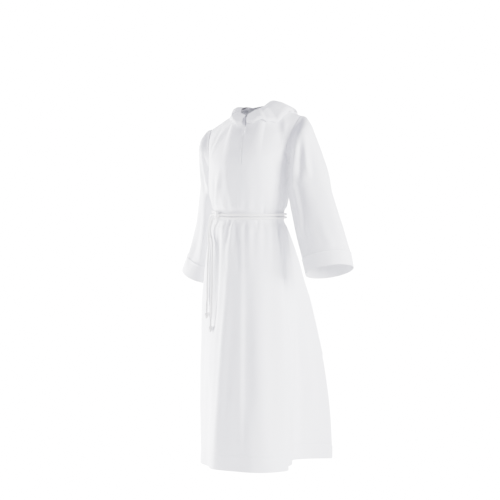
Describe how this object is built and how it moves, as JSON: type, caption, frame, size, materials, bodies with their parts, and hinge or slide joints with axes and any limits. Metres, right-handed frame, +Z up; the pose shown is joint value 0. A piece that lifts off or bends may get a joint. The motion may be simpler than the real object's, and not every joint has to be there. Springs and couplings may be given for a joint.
{
  "type": "hooded alb robe",
  "caption": "Child's white hooded alb in its worn, hollow form, full length, with wide sleeves, a short neck zip and a doubled rope cincture tied at the hip.",
  "frame": {"origin": "centre of the base of the neck, between the shoulders that hold the robe up", "axes": "+Z up, -Y out of the front, +X towards the wearer's left"},
  "size_m": [0.63, 0.4086, 1.1167],
  "materials": {
    "cloth": "matt white plain weave",
    "tape": "woven zip tape",
    "zip": "white moulded nylon",
    "cord": "white braided cord"
  },
  "bodies": {
    "robe": {"front": "cloth", "back": "cloth", "sleeve_left": "cloth", "sleeve_right": "cloth", "hood": "cloth", "zip_tape": "tape", "zip_chain": "zip", "zip_slider": "zip", "cincture_waist": "cord", "cincture_end_left": "cord", "cincture_end_right": "cord", "cincture_knot_left": "cord", "cincture_knot_right": "cord"},
    "pull_tab": {"zip_pull": "zip"}
  },
  "joints": [
    {"name": "pull_swing", "type": "hinge", "parent": "robe", "child": "pull_tab", "pos_m": [0.01024, -0.09003, -0.02198], "axis": [-0.9916, -0.0154, -0.1284], "range_deg": [0, 150]}
  ]
}
